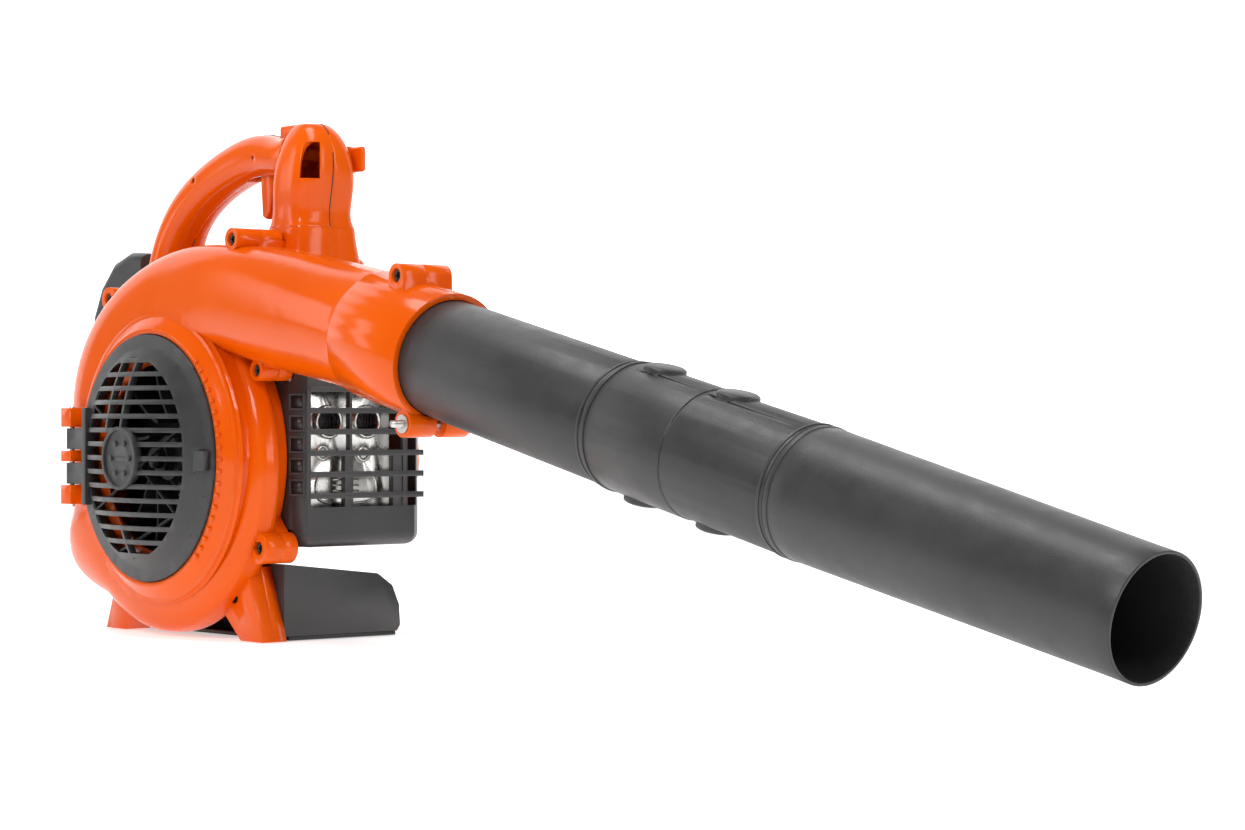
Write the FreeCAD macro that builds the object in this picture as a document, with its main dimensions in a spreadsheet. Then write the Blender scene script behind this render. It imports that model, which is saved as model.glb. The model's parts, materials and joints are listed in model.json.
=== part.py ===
import FreeCAD, Part
import math
import os
import Sketcher

# Hand-held petrol leaf blower, in millimetres. +X is the blowing direction, +Z is up, and the
# intake guard faces -Y. The origin is on the floor under the fan and crankshaft axis.

os.makedirs("parts", exist_ok=True)
doc = FreeCAD.newDocument("leaf_blower")
vec = FreeCAD.Vector

# ---------------------------------------------------------------- driving dimensions
SIZES = [
    ("axis_height", 128, "fan and crankshaft axis above the floor"),
    ("wall", 3, "moulded wall of the scroll housing"),
    ("parting", -47, "Y of the plane between the two scroll halves"),
    ("tongue_angle", 50, "angle above +X where the scroll starts"),
    ("tongue_radius", 107, "scroll radius at the tongue"),
    ("scroll_growth", 0.134, "scroll radius gained per degree"),
    ("scroll_core", 55, "radius where the scroll sections end inwards"),
    ("drum_radius", 104, "round part of the housing around the impeller"),
    ("drum_front", -80, "front wall of the housing"),
    ("drum_back", -38, "back wall of the housing"),
    ("inlet_radius", 67, "air inlet"),
    ("guard_radius", 88.5, "outer radius of the intake guard ring"),
    ("guard_front", -110, "front face of the intake guard ribs"),
    ("rib_pitch", 10, "pitch of the intake guard ribs"),
    ("tube_tilt", 13.35, "tube axis below the horizontal, degrees"),
    ("tube_x", 297.8, "X where the tube leaves the housing"),
    ("tube_y", -45, "Y of the tube axis"),
    ("tube_z", 195.1, "Z of the tube axis where it leaves the housing"),
    ("tube_radius", 39.3, "outer radius of the upper tube"),
    ("tube_wall", 2, "wall of the tubes"),
    ("tube_insert", 55, "length of tube inside the housing sleeve"),
    ("collar_start", 186.7, "start of the middle tube, along the tube axis"),
    ("collar_radius", 40.1, "outer radius of the middle tube's collar"),
    ("nozzle_start", 348.8, "start of the nozzle tube, along the tube axis"),
    ("nozzle_end", 602.2, "nozzle mouth, along the tube axis"),
    ("nozzle_radius", 35.7, "outer radius of the nozzle mouth"),
    ("mouth_length", 14, "straight part at the nozzle mouth"),
    ("spigot_length", 50, "overlap of two tubes"),
    ("sleeve_radius", 43.6, "outer radius of the housing sleeve"),
    ("sleeve_length", 75, "length of the housing sleeve"),
    ("fan_radius", 98, "impeller"),
    ("fan_depth", 26, "impeller depth along its axis"),
    ("blade_count", 12, "impeller blades"),
    ("shaft_radius", 7.5, "crankshaft journals"),
    ("running_gap", 0.05, "radial clearance of shafts and pins"),
    ("crank_throw", 13, "crankpin offset"),
    ("case_radius", 34, "crankcase"),
    ("bore_radius", 17.5, "cylinder bore"),
    ("fin_width", 76, "cylinder fins"),
    ("fin_count", 8, "cylinder fins"),
    ("fin_pitch", 6.4, "cylinder fin pitch"),
    ("flywheel_radius", 50, "flywheel"),
    ("starter_radius", 68, "starter housing"),
    ("pulley_radius", 24, "rope groove of the starter pulley"),
    ("rope_radius", 1.6, "starter rope"),
    ("stand_half", 100, "half length of the stand"),
    ("stand_depth", 101, "width of the stand, along Y"),
    ("stand_height", 52, "height of the stand"),
    ("plate_thickness", 3, "base plate of the stand"),
    ("screw_radius", 2.4, "shank of the housing screws"),
    ("screw_head", 4.4, "head of the housing screws"),
    ("grip_wall", 2.6, "moulded wall of the handle"),
    ("guard_bar", 4, "bars of the muffler guard"),
    ("guard_pitch", 15, "pitch of the bars of the muffler guard"),
    ("pin_radius", 2, "hinge pins"),
]
sheet = doc.addObject("Spreadsheet::Sheet", "dims")
for row, (alias, value, meaning) in enumerate(SIZES, start=1):
    sheet.set("A%d" % row, alias)
    sheet.set("B%d" % row, str(value))
    sheet.set("C%d" % row, meaning)
    sheet.setAlias("B%d" % row, alias)
doc.recompute()
S = {alias: float(sheet.get(alias)) for alias, value, meaning in SIZES}

AXIS_Z = S["axis_height"]
TURN = {
    "X": FreeCAD.Rotation(vec(0, 1, 0), 90),
    "Y": FreeCAD.Rotation(vec(1, 0, 0), -90),
    "Z": FreeCAD.Rotation(),
}
nodes = []


# ---------------------------------------------------------------- helpers
def evaluate(size):
    """Value of a number or of an expression on the sheet."""
    return float(sheet.evalExpression(str(size)))


def bind(item, prop, size):
    """Bind a property to an expression on the sheet."""
    item.setExpression(prop, str(size))


def node(label, item):
    """Name a finished sub-part."""
    item.Label = label
    nodes.append(item)
    return item


def feature(label, shape):
    """A finished sub-part whose shape is worked out here."""
    item = doc.addObject("Part::Feature", label)
    item.Shape = shape
    return node(label, item)


def rod(name, radius, length, base, axis="Y"):
    """Part cylinder bound to the sheet, from base along a row axis."""
    item = doc.addObject("Part::Cylinder", name)
    bind(item, "Radius", radius)
    bind(item, "Height", length)
    item.Placement = FreeCAD.Placement(vec(*base), TURN[axis])
    return item


def block(name, length, width, height, corner):
    """Part box bound to the sheet, from its lowest corner."""
    item = doc.addObject("Part::Box", name)
    bind(item, "Length", length)
    bind(item, "Width", width)
    bind(item, "Height", height)
    item.Placement.Base = vec(*corner)
    return item


def fused(name, items):
    """Part fusion of several objects."""
    item = doc.addObject("Part::MultiFuse", name)
    item.Shapes = items
    return item


def cut(name, base, tools):
    """Part cut of a base by one tool or several."""
    tool = tools[0] if len(tools) == 1 else fused(name + "_tools", tools)
    item = doc.addObject("Part::Cut", name)
    item.Base = base
    item.Tool = tool
    return item


def origin_plane(body, role):
    """Origin plane of a body, by its role."""
    return [item for item in body.Origin.OriginFeatures if item.Role == role][0]


def new_sketch(body, name, role):
    """Sketch on one of its body's origin planes."""
    sketch = body.newObject("Sketcher::SketchObject", name)
    sketch.AttachmentSupport = (origin_plane(body, role), [""])
    sketch.MapMode = "FlatFace"
    return sketch


def pin_vertex(sketch, edge, axis, size, vertex=1):
    """Hold one coordinate of a line's start, or a circle's centre, at a size of the sheet."""
    value = evaluate(size)
    if abs(value) < 1e-9:
        reference = -2 if axis == "X" else -1
        sketch.addConstraint(Sketcher.Constraint("PointOnObject", edge, vertex, reference))
        return
    number = sketch.addConstraint(Sketcher.Constraint("Distance" + axis, -1, 1, edge, vertex, value))
    sketch.setExpression("Constraints[%d]" % number, str(size))


def outline(sketch, points):
    """Closed polygon whose corners are sizes of the sheet."""
    corners = [vec(evaluate(x), evaluate(y), 0) for x, y in points]
    count = len(corners)
    for index in range(count):
        sketch.addGeometry(Part.LineSegment(corners[index], corners[(index + 1) % count]), False)
    for index in range(count):
        following = (index + 1) % count
        sketch.addConstraint(Sketcher.Constraint("Coincident", index, 2, following, 1))
    for index, (x, y) in enumerate(points):
        pin_vertex(sketch, index, "X", x)
        pin_vertex(sketch, index, "Y", y)


def circle(sketch, radius, centre=(0, 0)):
    """Circle whose radius is a size of the sheet."""
    middle = vec(evaluate(centre[0]), evaluate(centre[1]), 0)
    edge = sketch.addGeometry(Part.Circle(middle, vec(0, 0, 1), evaluate(radius)), False)
    number = sketch.addConstraint(Sketcher.Constraint("Radius", edge, evaluate(radius)))
    sketch.setExpression("Constraints[%d]" % number, str(radius))
    pin_vertex(sketch, edge, "X", centre[0], 3)
    pin_vertex(sketch, edge, "Y", centre[1], 3)


def turned_body(label, points, base, axis="Y"):
    """PartDesign body turned from a profile of (radius, distance along the axis)."""
    body = doc.addObject("PartDesign::Body", label)
    sketch = new_sketch(body, label + "_profile", "XZ_Plane")
    outline(sketch, points)
    turn = body.newObject("PartDesign::Revolution", label + "_turn")
    turn.Profile = sketch
    turn.ReferenceAxis = (sketch, ["V_Axis"])
    turn.Angle = 360
    sketch.Visibility = False
    rotation = TURN[axis] if isinstance(axis, str) else axis
    body.Placement = FreeCAD.Placement(vec(*base), rotation)
    return body


def padded_body(label, points, thickness, base, axis="Z", holes=()):
    """PartDesign body padded from a polygon, with round holes (radius, (x, y))."""
    body = doc.addObject("PartDesign::Body", label)
    sketch = new_sketch(body, label + "_outline", "XY_Plane")
    outline(sketch, points)
    for radius, centre in holes:
        circle(sketch, radius, centre)
    pad = body.newObject("PartDesign::Pad", label + "_pad")
    pad.Profile = sketch
    bind(pad, "Length", thickness)
    body.Placement = FreeCAD.Placement(vec(*base), TURN[axis])
    return body


def polar(body, feature_item, sketch, count, label):
    """Repeat a feature around the body's own Z axis."""
    pattern = body.newObject("PartDesign::PolarPattern", label)
    pattern.Originals = [feature_item]
    pattern.Axis = (sketch, ["N_Axis"])
    pattern.Angle = 360
    bind(pattern, "Occurrences", count)
    body.Tip = pattern
    return pattern


def hexagon(across):
    """Corners of a hexagon with this distance across its flats."""
    radius = across / math.sqrt(3)
    return [(radius * math.cos(math.radians(60 * k)), radius * math.sin(math.radians(60 * k)))
            for k in range(6)]


def ring_section(centre, outward, half_out, half_side, power, count=20):
    """Closed smooth section between an ellipse (power 2) and a rounded rectangle."""
    points = []
    for step in range(count):
        turn = 2 * math.pi * step / count
        across = half_out * math.copysign(abs(math.cos(turn)) ** (2 / power), math.cos(turn))
        aside = half_side * math.copysign(abs(math.sin(turn)) ** (2 / power), math.sin(turn))
        points.append(centre + outward * across + vec(0, 1, 0) * aside)
    curve = Part.BSplineCurve()
    curve.interpolate(points, PeriodicFlag=True)
    return Part.Wire(curve.toShape())


def prism(points, low, high):
    """Solid over an XZ outline between two Y values."""
    corners = [vec(x, low, z) for x, z in points]
    face = Part.Face(Part.makePolygon(corners + corners[:1]))
    return face.extrude(vec(0, high - low, 0))


def round_bar(radius, start, end):
    """Solid cylinder between two points."""
    way = vec(*end) - vec(*start)
    return Part.makeCylinder(radius, way.Length, vec(*start), way)


def bar_y(radius, x, z, low, high):
    """Solid cylinder along Y."""
    return Part.makeCylinder(radius, high - low, vec(x, low, z), vec(0, 1, 0))


def box_between(low, high):
    """Solid box between two corners."""
    size = vec(*high) - vec(*low)
    return Part.makeBox(size.x, size.y, size.z, vec(*low))


def joined(shapes):
    """One solid from overlapping solids."""
    return shapes[0].multiFuse(shapes[1:]).removeSplitter()


def rounded(shape, radius, chosen):
    """Fillet the edges that the test picks."""
    edges = [edge for edge in shape.Edges if chosen(edge)]
    return shape.makeFillet(radius, edges)


def wire_path(points):
    """Path of straight runs joined by tangent arcs, each as large as its runs allow."""
    corners = [vec(*point) for point in points]
    edges = []
    start = corners[0]
    for before, corner, after in zip(corners, corners[1:], corners[2:]):
        way_in = (corner - before).normalize()
        way_out = (after - corner).normalize()
        turn = way_in.getAngle(way_out)
        shorter = min((corner - before).Length, (after - corner).Length)
        setback = 0.45 * shorter
        radius = setback / math.tan(turn / 2)
        first = corner - way_in * setback
        last = corner + way_out * setback
        towards = (way_out - way_in).normalize()
        centre = corner + towards * (radius / math.cos(turn / 2))
        middle = centre - towards * radius
        edges.append(Part.LineSegment(start, first).toShape())
        edges.append(Part.Arc(first, middle, last).toShape())
        start = last
    edges.append(Part.LineSegment(start, corners[-1]).toShape())
    return Part.Wire(edges)


def lead(points, radius):
    """Round lead along a path of runs and arcs."""
    path = wire_path(points)
    way = vec(*points[1]) - vec(*points[0])
    section = Part.Wire(Part.makeCircle(radius, vec(*points[0]), way))
    return path.makePipeShell([section], True, False)


# ---------------------------------------------------------------- tube frame
TILT = math.radians(S["tube_tilt"])
TUBE_WAY = vec(math.cos(TILT), 0, -math.sin(TILT))
TUBE_START = vec(S["tube_x"], S["tube_y"], S["tube_z"])
TUBE_TURN = FreeCAD.Rotation(vec(0, 1, 0), 90 + S["tube_tilt"])


def on_tube(distance):
    """Point on the tube axis, measured from where the tube leaves the housing."""
    return TUBE_START + TUBE_WAY * distance


# ---------------------------------------------------------------- scroll housing
def scroll_sections(inset):
    """Sections of the air channel from the tongue round the fan to the outlet sleeve."""
    sections = []
    last_turn = S["tongue_angle"] + 270
    steps = 9
    for step in range(steps + 1):
        travelled = last_turn * step / steps
        share = step / steps
        angle = math.radians(S["tongue_angle"] - travelled)
        outward = vec(math.cos(angle), 0, math.sin(angle))
        far = S["tongue_radius"] + S["scroll_growth"] * travelled
        front = -66 - 13.4 * math.sin(math.pi / 2 * min(1, 1.6 * share))
        back = -44 + 18 * share ** 2
        middle = vec(0, (front + back) / 2, AXIS_Z) + outward * (far + S["scroll_core"]) / 2
        half_out = (far - S["scroll_core"]) / 2 - inset
        half_side = (back - front) / 2 - inset
        sections.append(ring_section(middle, outward, half_out, half_side, 3.0))
    duct = [
        (50, 240.5, 39.5, -52.5, 29.5, 2.8, 2),
        (100, 235.5, 40.5, -48, 36, 2.5, 6),
        (160, 225, 41.5, -45.1, 41, 2.2, 10),
    ]
    for x, z, half_out, y, half_side, power, tilt in duct:
        outward = vec(math.sin(math.radians(tilt)), 0, math.cos(math.radians(tilt)))
        sections.append(ring_section(vec(x, y, z), outward, half_out - inset, half_side - inset, power))
    outward = vec(math.sin(TILT), 0, math.cos(TILT))
    mouth_radius = S["sleeve_radius"] - 1 - inset
    for distance in (-S["sleeve_length"], -S["sleeve_length"] + 12):
        sections.append(ring_section(on_tube(distance), outward, mouth_radius, mouth_radius, 2.0))
    return sections


def channel(inset):
    """Air channel as two lofts that meet on the fan's rear side."""
    sections = scroll_sections(inset)
    return [Part.makeLoft(sections[:6], True, False), Part.makeLoft(sections[5:], True, False)]


def drum(radius, low, high):
    """Solid cylinder about the fan axis."""
    return bar_y(radius, 0, AXIS_Z, low, high)


BOSSES = [
    # name, x, z, radius, front Y, back Y
    ("top", 79, 282, 8, -68, -30),
    ("sleeve", 270, 250, 8, -66, -26),
    ("tongue", 101, 190, 7.5, -62, -36),
    ("rear", -95, 245, 9, -62, -30),
    ("low_front", 104, 66, 11, -62, -36),
    ("low_rear", -117, 65, 9, -62, -36),
]
CLAMP = vec(283, -45, 153)
HINGE = vec(-103, -88, AXIS_Z)
FOOT_OUTLINE = [(76, 0), (104, 0), (84, 52), (72, 52), (45, 27)]
FOOT_FRONT = -58
FOOT_BACK = -38
FOOT_HOLE = vec(68, 0, 30)


def make_housing():
    """Both halves of the scroll housing, still in one."""
    sleeve_start = on_tube(-S["sleeve_length"])
    sleeve = Part.makeCylinder(S["sleeve_radius"], S["sleeve_length"], sleeve_start, TUBE_WAY)
    bore = Part.makeCylinder(S["tube_radius"] + 0.2, 500, on_tube(-S["tube_insert"]), TUBE_WAY)
    throat = Part.makeCylinder(S["tube_radius"] - 1, S["sleeve_length"] + 20, sleeve_start, TUBE_WAY)
    wheel_case = drum(S["drum_radius"], S["drum_front"], S["drum_back"])
    wheel_room = drum(S["drum_radius"] - S["wall"], S["drum_front"] + S["wall"],
                      S["drum_back"] - S["wall"])
    air = channel(S["wall"])
    room = wheel_room.multiFuse(air)
    lobes = channel(0)
    shell = lobes[0].multiFuse([lobes[1], wheel_case]).cut(room)
    shell = shell.cut(bore).fuse(sleeve.cut([bore, throat]))
    collar = Part.makeCone(S["drum_radius"] + 2, 92.5, 11, vec(0, -76, AXIS_Z), vec(0, -1, 0))
    collar = collar.cut([drum(S["guard_radius"] + 0.7, -100, -70), room])
    extras = [collar]
    for name, x, z, radius, front, back in BOSSES:
        extras.append(bar_y(radius, x, z, front, back).cut([room, throat]))
    webs = [
        box_between((71, -50, 262), (87, -28, 282)),
        prism([(93.5, 190), (108.5, 190), (106, 214), (100, 222)], -60, -38),
        prism([(100, 60), (110, 72), (92, 92), (82, 80)], -58, -38),
    ]
    extras += [web.cut(room) for web in webs]
    extras.append(box_between((262, -66, 236), (278, -26, 250)).cut([bore, throat]))
    extras.append(bar_y(9, CLAMP.x, CLAMP.z, -70, -21).cut(bore))
    for side in (-1, 1):
        foot = [(side * x, z) for x, z in FOOT_OUTLINE]
        extras.append(prism(foot, FOOT_FRONT, FOOT_BACK).cut(room))
    for low, high in ((22, 36), (-3.5, 4.5), (-35, -21)):
        lug = box_between((-109, -94, AXIS_Z + low), (-95, -72, AXIS_Z + high))
        extras.append(lug.cut([room, drum(S["guard_radius"] + 0.7, -100, -70)]))
    for extra in extras:
        shell = shell.fuse(extra)
    tools = [drum(S["guard_radius"] + 0.7, -100, -80.3), drum(S["inlet_radius"], -100, -60),
             bar_y(9, 0, AXIS_Z, -60, 0)]
    tools.append(box_between((CLAMP.x - 14, -49, 138), (CLAMP.x + 30, -41, CLAMP.z + 5)))
    for side in (-1, 1):
        x, z = side * FOOT_HOLE.x, FOOT_HOLE.z
        tools.append(bar_y(4.2, x, z, FOOT_FRONT - 1, FOOT_FRONT + 14))
        tools.append(bar_y(2.45, x, z, FOOT_FRONT, FOOT_BACK + 1))
    for _, x, z, _, front, back in BOSSES:
        tools.append(bar_y(S["screw_radius"] + S["running_gap"], x, z, front - 1, back + 1))
        tools.append(bar_y(S["screw_head"] + 0.4, x, z, front - 1, front + 9))
    tools.append(bar_y(2.6, CLAMP.x, CLAMP.z, -80, -10))
    tools.append(Part.makeCylinder(S["pin_radius"] + 0.02, 76, vec(HINGE.x, HINGE.y, AXIS_Z - 38)))
    for tool in tools:
        shell = shell.cut(tool)
    return shell


housing = make_housing()
FAR = 1500
outer_room = box_between((-FAR, -FAR, -FAR), (FAR, S["parting"], FAR))
inner_room = box_between((-FAR, S["parting"], -FAR), (FAR, FAR, FAR))
feature("volute_outer_half", housing.common(outer_room))
feature("volute_inner_half", housing.common(inner_room))


# ---------------------------------------------------------------- intake guard
hinge_pin = rod("guard_hinge_pin", "dims.pin_radius", 74, (HINGE.x, HINGE.y, AXIS_Z - 37), "Z")
node("guard_hinge_pin", hinge_pin)


def make_guard():
    """Domed cage of ribs with a closed rim band, on a ring, with a round plain badge."""
    front = S["guard_front"]
    bulge = 164.9
    middle = vec(0, front + bulge, AXIS_Z)
    cap = drum(84, front - 1, -86)
    dome = Part.makeSphere(bulge, middle).common(cap)
    deep = dome.cut(Part.makeSphere(bulge - 5, middle))
    thin = dome.cut(Part.makeSphere(bulge - 2.6, middle))
    slats = []
    for step in range(-7, 8):
        height = AXIS_Z + step * S["rib_pitch"]
        slats.append(box_between((-90, front - 1, height - 1.7), (90, -84, height + 1.7)))
    for x, low, high in ((-24, 20, 78), (-2, 20, 78), (-12, -78, -48)):
        slats.append(box_between((x - 1.3, front - 1, AXIS_Z + low), (x + 1.3, -84, AXIS_Z + high)))
    cage = deep.common(slats[0].multiFuse(slats[1:]))
    band = thin.cut(bar_y(72, -9, AXIS_Z, front - 5, -80))
    ring = drum(S["guard_radius"], -89, -81).cut(drum(78, -100, -70))
    side_bar = box_between((-81, -93, AXIS_Z - 35), (-76, -85, AXIS_Z + 36))
    badge = drum(22.5, front - 1.5, front + 4).cut(drum(20, front - 2, front + 0.2))
    dots = []
    for turn in range(0, 360, 60):
        x, z = 12 * math.cos(math.radians(turn)), 12 * math.sin(math.radians(turn))
        dots.append(bar_y(2.2, x, AXIS_Z + z, front - 1, front + 1))
    struts = []
    for start, end in (((-70, -40), (72, 36)), ((-70, 38), (60, -54)), ((-40, -70), (76, -26))):
        struts.append(round_bar(1.4, (start[0], -88, AXIS_Z + start[1]), (end[0], -88, AXIS_Z + end[1])))
    knuckles = []
    for low, high in ((-20, -4.6), (5.6, 21)):
        arm = box_between((HINGE.x, HINGE.y - 4, AXIS_Z + low), (-78, -87.6, AXIS_Z + high))
        eye = Part.makeCylinder(4.2, high - low, vec(HINGE.x, HINGE.y, AXIS_Z + low))
        knuckles += [arm, eye]
    solid = ring
    for piece in [band, cage, side_bar, badge] + dots + struts + knuckles:
        solid = solid.fuse(piece)
    hole = Part.makeCylinder(S["pin_radius"] + S["running_gap"], 200, vec(HINGE.x, HINGE.y, 30))
    return solid.cut(hole)


latch = joined([box_between((56, -94, AXIS_Z - 10), (72, -89.5, AXIS_Z + 8)),
                box_between((70, -94, AXIS_Z - 8), (84, -89.5, AXIS_Z + 6))])
feature("intake_guard", make_guard().cut(latch))
feature("guard_latch", latch)


# ---------------------------------------------------------------- rotor
fan_base = S["drum_back"] - S["wall"] - 3
fan = turned_body("impeller_disc", [
    ("dims.shaft_radius", 0), ("dims.fan_radius", 0), ("dims.fan_radius", 2.5), (24, 3.5),
    (16, "dims.fan_depth"), ("dims.shaft_radius", "dims.fan_depth"),
], (0, fan_base, AXIS_Z), FreeCAD.Rotation(vec(1, 0, 0), 90))


def make_impeller(disc):
    """Disc with blades that curve backwards."""
    curve = Part.Arc(vec(30, fan_base, 0), vec(62, fan_base, 16), vec(S["fan_radius"] - 4, fan_base, 14))
    strip = Part.Wire(curve.toShape()).makeOffset2D(1.1, 0, True, False, False)
    blades = []
    for index in range(int(S["blade_count"])):
        blade = strip.extrude(vec(0, -S["fan_depth"], 0))
        blade.rotate(vec(0, 0, 0), vec(0, 1, 0), 360 * index / S["blade_count"])
        blade.translate(vec(0, 0, AXIS_Z))
        blades.append(blade)
    return disc.multiFuse(blades)


doc.recompute()
feature("impeller", make_impeller(fan.Shape.copy()))

shaft_front = fan_base - S["fan_depth"] - 12
CASE_MIDDLE = -1
WEB = 6.5
journal = rod("shaft_journal", "dims.shaft_radius", 55 - shaft_front, (0, shaft_front, AXIS_Z))
front_web = rod("front_web", 24, WEB, (0, CASE_MIDDLE - 12, AXIS_Z))
rear_web = rod("rear_web", 24, WEB, (0, CASE_MIDDLE + 12 - WEB, AXIS_Z))
crank_gap = rod("crank_gap", 12, 11, (0, CASE_MIDDLE - 5.5, AXIS_Z))
crankpin = rod("crankpin", 5, 11.4, (0, CASE_MIDDLE - 5.7, AXIS_Z + S["crank_throw"]))
split_shaft = cut("split_shaft", journal, [crank_gap])
node("crankshaft", fused("crankshaft", [split_shaft, front_web, rear_web, crankpin]))

nut = padded_body("impeller_nut", hexagon(19), 7, (0, fan_base - S["fan_depth"] - 7, AXIS_Z), "Y",
                  [("dims.shaft_radius", (0, 0))])

wheel = turned_body("flywheel", [
    ("dims.shaft_radius", 0), ("dims.flywheel_radius", 0), ("dims.flywheel_radius", 8), (44, 8), (44, 4),
    (16, 4), (16, 12), ("dims.shaft_radius", 12),
], (0, 35, AXIS_Z))
vane_sketch = new_sketch(wheel, "vane_outline", "XY_Plane")
outline(vane_sketch, [(24, 1), (46, 6), (46, 8), (24, 3)])
vane = wheel.newObject("PartDesign::Pad", "vane")
vane.Profile = vane_sketch
vane.Length = 12
polar(wheel, vane, vane_sketch, 16, "vanes")
node("flywheel", wheel)

cup = turned_body("starter_cup", [
    ("dims.shaft_radius", 0), (26, 0), (26, 12), (23.5, 12), (23.5, 2.5), ("dims.shaft_radius", 2.5),
], (0, 47.3, AXIS_Z))
node("starter_cup", cup)
rear_nut = padded_body("flywheel_nut", hexagon(17), 5, (0, 49.9, AXIS_Z), "Y",
                       [("dims.shaft_radius", (0, 0))])
shaft_nuts = doc.addObject("Part::Compound", "shaft_nuts")
shaft_nuts.Links = [nut, rear_nut]
node("shaft_nuts", shaft_nuts)


# ---------------------------------------------------------------- engine
STARTER_Y = 52
STARTER_LUGS = (45, 135, 220, 320)


def starter_lug(angle):
    """X and Z of a starter screw."""
    turn = math.radians(angle)
    return 61 * math.cos(turn), AXIS_Z + 61 * math.sin(turn)


def make_crankcase():
    """Cast case with the crank chamber, bearing seats, seal seats and the cylinder deck."""
    low, high = S["drum_back"], 31
    deck = AXIS_Z + 40
    case = joined([drum(S["case_radius"], low, high), drum(46, low, low + 5),
                   box_between((-31, low + 6, AXIS_Z), (31, high, deck))])
    for angle in STARTER_LUGS:
        x, z = starter_lug(angle)
        case = case.fuse(round_bar(4, (x / 2.1, 26, AXIS_Z + (z - AXIS_Z) / 2.1), (x, 26, z)))
        case = case.fuse(bar_y(4.5, x, z, 21, STARTER_Y))
    tools = [drum(27, CASE_MIDDLE - 13.5, CASE_MIDDLE + 13.5),
             drum(17.5, CASE_MIDDLE - 23, CASE_MIDDLE + 23), drum(12.5, low - 1, high + 1),
             Part.makeCylinder(20.2, 40, vec(0, CASE_MIDDLE, deck - 30))]
    tools += [bar_y(2.45, *starter_lug(angle), 30, STARTER_Y + 1) for angle in STARTER_LUGS]
    for tool in tools + channel(-0.5):
        case = case.cut(tool)
    return case


feature("crankcase", make_crankcase())


def rings(name, inner, outer, length, starts):
    """Group of plain rings on the crankshaft."""
    items = []
    for number, start in enumerate(starts):
        body = rod("%s_body_%d" % (name, number), outer, length, (0, start, AXIS_Z))
        hole = rod("%s_hole_%d" % (name, number), inner, length, (0, start, AXIS_Z))
        items.append(cut("%s_%d" % (name, number), body, [hole]))
    group = doc.addObject("Part::Compound", name)
    group.Links = items
    return node(name, group)


rings("main_bearings", "dims.shaft_radius + dims.running_gap", 17.5, 9,
      (CASE_MIDDLE - 22.8, CASE_MIDDLE + 13.8))
rings("shaft_seals", "dims.shaft_radius + dims.running_gap", 12.5, 5, (S["drum_back"] + 1, 25))


def make_cylinder():
    """Finned cylinder with its head, ports and plug hole."""
    deck = AXIS_Z + 40
    half = S["fin_width"] / 2
    middle = CASE_MIDDLE
    solids = [Part.makeCylinder(22, 62, vec(0, middle, deck)),
              Part.makeCylinder(19.9, 6, vec(0, middle, deck - 6)),
              box_between((-28, middle - 26, deck), (28, middle + 26, deck + 4))]
    for step in range(int(S["fin_count"])):
        low = deck + 10 + step * S["fin_pitch"]
        width = half if step < 6 else half - 4 * (step - 5)
        fin = box_between((-width, middle - 31, low), (width, middle + 31, low + 2))
        solids.append(rounded(fin, 9, lambda e: abs(e.BoundBox.ZLength - 2) < 0.01))
    solids.append(box_between((18, middle - 14, deck + 0.5), (52, middle + 14, deck + 16)))
    solids.append(box_between((-42, middle - 13, deck + 8), (-18, middle + 13, deck + 32)))
    solids.append(Part.makeCylinder(9, 8, vec(0, middle, deck + 60)))
    tools = [Part.makeCylinder(S["bore_radius"], 62, vec(0, middle, deck - 6)),
             round_bar(6.5, (10, middle, deck + 8), (60, middle, deck + 8)),
             round_bar(7, (-50, middle, deck + 20), (-10, middle, deck + 20)),
             Part.makeCylinder(5, 40, vec(0, middle, deck + 40))]
    return joined(solids).cut(tools).cut(channel(-1))


feature("cylinder", make_cylinder())
PISTON_BASE = AXIS_Z + 52
piston = turned_body("piston", [
    (14.5, 0), (17.3, 0), (17.3, 26), (0, 28), (0, 24), (14.5, 23),
], (0, CASE_MIDDLE, PISTON_BASE), "Z")
node("piston", piston)
PLUG_BASE = AXIS_Z + 96
plug = turned_body("spark_plug", [
    (0, 0), (4.8, 0), (4.8, 12.2), (9.5, 12.2), (9.5, 18), (5, 20), (4, 31), (0, 31),
], (0, CASE_MIDDLE, PLUG_BASE), "Z")
node("spark_plug", plug)
boot = turned_body("plug_boot", [
    (5.3, 0), (9, 0), (8.5, 13), (5, 17), (0, 17), (0, 12), (5.3, 12),
], (0, CASE_MIDDLE, PLUG_BASE + 20), "Z")
node("plug_boot", boot)

COIL_BASE = AXIS_Z + S["flywheel_radius"] + 0.6
coil_core = block("coil_core", 56, 9, 10, (-28, 34.5, COIL_BASE))
coil_case = block("coil_case", 34, 14, 22, (-17, 33.5, COIL_BASE + 10))
node("ignition_module", fused("ignition_module", [coil_core, coil_case]))
feature("ignition_lead", lead([
    (12, 41, COIL_BASE + 32), (12, 41, COIL_BASE + 44), (10, 30, COIL_BASE + 58),
    (3, 18, PLUG_BASE + 27), (2, 8.6, PLUG_BASE + 27),
], 2.4))

# ---------------------------------------------------------------- muffler
MUFFLER_LOW = vec(56, -27, 84)
MUFFLER_HIGH = vec(106, 49, 184)
MUFFLER_SPLIT = 84


def upright(edge):
    """True for an edge that runs along X."""
    box = edge.BoundBox
    return box.XLength > 4 and box.YLength < 0.01 and box.ZLength < 0.01


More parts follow.
